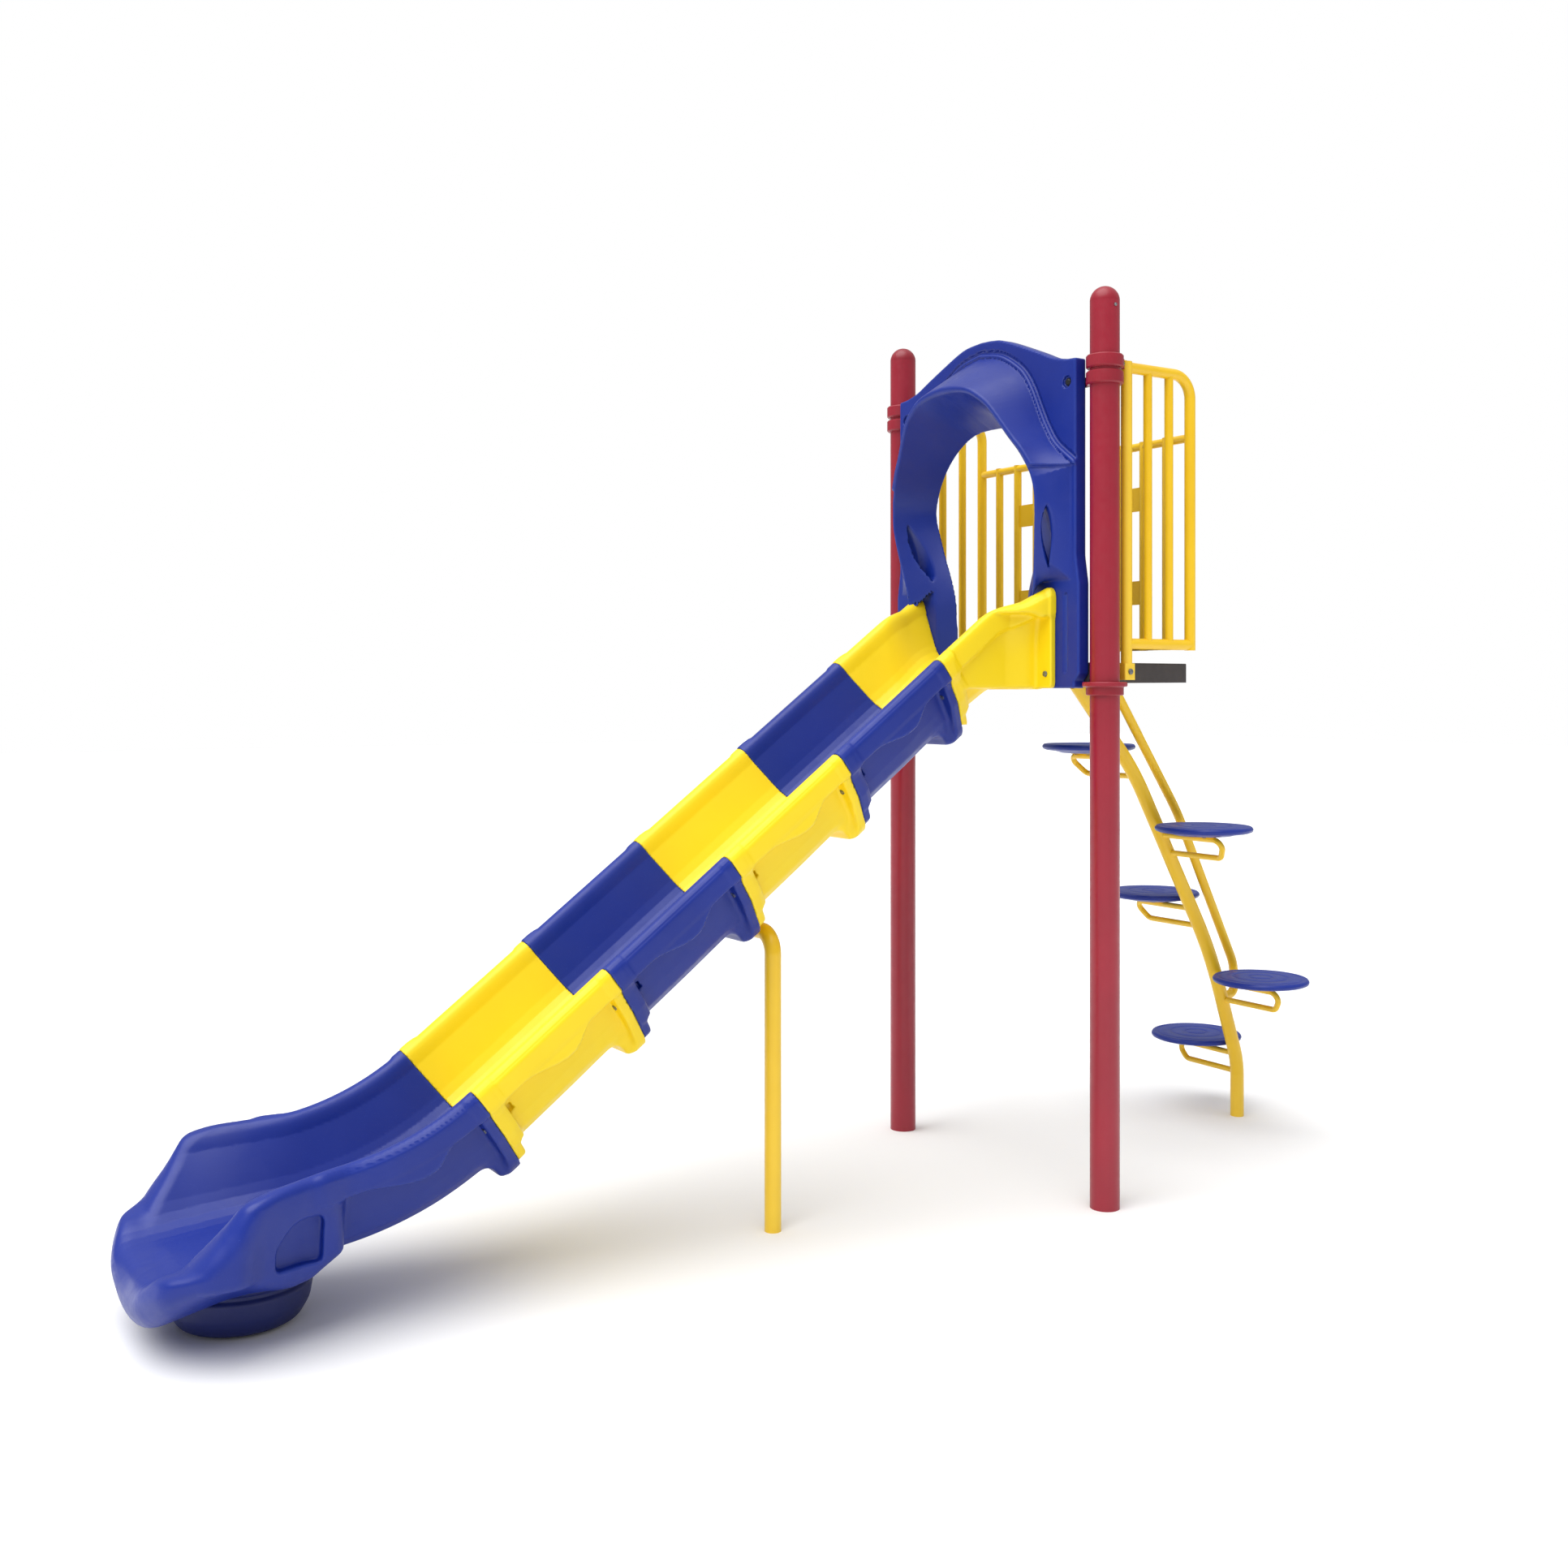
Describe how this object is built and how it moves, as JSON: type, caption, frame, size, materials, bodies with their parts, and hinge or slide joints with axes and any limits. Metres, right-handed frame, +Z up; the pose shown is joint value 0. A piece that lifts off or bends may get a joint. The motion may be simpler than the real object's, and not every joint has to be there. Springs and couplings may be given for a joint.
{
  "type": "playground slide",
  "caption": "Free-standing playground slide: a straight sectional trough from a small guarded deck under an arched hood, with a leaning pole climber of round steps.",
  "frame": {"origin": "on the ground, at the middle of the object's box in X and Y", "axes": "+Z up; +X along the slide from its exit towards the climber; +Y across the slide, from the post beside the support leg towards the other post"},
  "size_m": [3.9704, 1.154, 2.77],
  "materials": {
    "blue_plastic": "moulded, semi-gloss royal blue polyethylene",
    "yellow_plastic": "moulded, semi-gloss yellow polyethylene",
    "red_paint": "gloss crimson powder coat on steel tube",
    "red_cast": "crimson powder coat on cast aluminium",
    "yellow_paint": "gloss yellow powder coat on steel tube",
    "deck_coating": "thick dark brown-black vinyl coating on steel plate",
    "dark_moulding": "dark navy moulded polyethylene",
    "zinc_steel": "zinc-plated and stainless fasteners"
  },
  "bodies": {
    "root": {"post_left": "red_paint", "post_right": "red_paint", "post_cap_left": "red_cast", "post_cap_right": "red_cast", "deck_collar_left": "red_cast", "deck_collar_right": "red_cast", "guard_clamp_left": "red_cast", "guard_clamp_right": "red_cast", "hood_clamp_left": "red_cast", "hood_clamp_right": "red_cast", "cap_rivets": "zinc_steel", "clamp_bolts": "zinc_steel", "deck_bolts": "zinc_steel", "hood_bolts": "zinc_steel", "slide_joint_bolts": "zinc_steel", "slide_hood_bolts": "zinc_steel", "guard_bolts": "zinc_steel", "climber_bolts": "zinc_steel", "step_screws": "zinc_steel", "hood_strap_left": "zinc_steel", "hood_strap_right": "zinc_steel", "deck_saddle_left": "zinc_steel", "deck_saddle_right": "zinc_steel", "deck_platform": "deck_coating", "deck_joist_front": "deck_coating", "deck_joist_back": "deck_coating", "hood": "blue_plastic", "slide_section_1": "blue_plastic", "slide_section_3": "blue_plastic", "slide_exit": "blue_plastic", "step_1": "blue_plastic", "step_2": "blue_plastic", "step_3": "blue_plastic", "step_4": "blue_plastic", "step_5": "blue_plastic", "slide_start": "yellow_plastic", "slide_section_2": "yellow_plastic", "slide_section_4": "yellow_plastic", "exit_foot": "dark_moulding", "support_leg": "yellow_paint", "leg_bracket": "yellow_paint", "side_guard_left": "yellow_paint", "side_guard_right": "yellow_paint", "entry_guard_left": "yellow_paint", "entry_guard_right": "yellow_paint", "guard_bracket_left": "yellow_paint", "guard_bracket_right": "yellow_paint", "climber_pole": "yellow_paint", "climber_rail": "yellow_paint", "climber_top_plate": "yellow_paint", "step_bracket_1": "yellow_paint", "step_bracket_2": "yellow_paint", "step_bracket_3": "yellow_paint", "step_bracket_4": "yellow_paint", "step_bracket_5": "yellow_paint"}
  },
  "joints": []
}
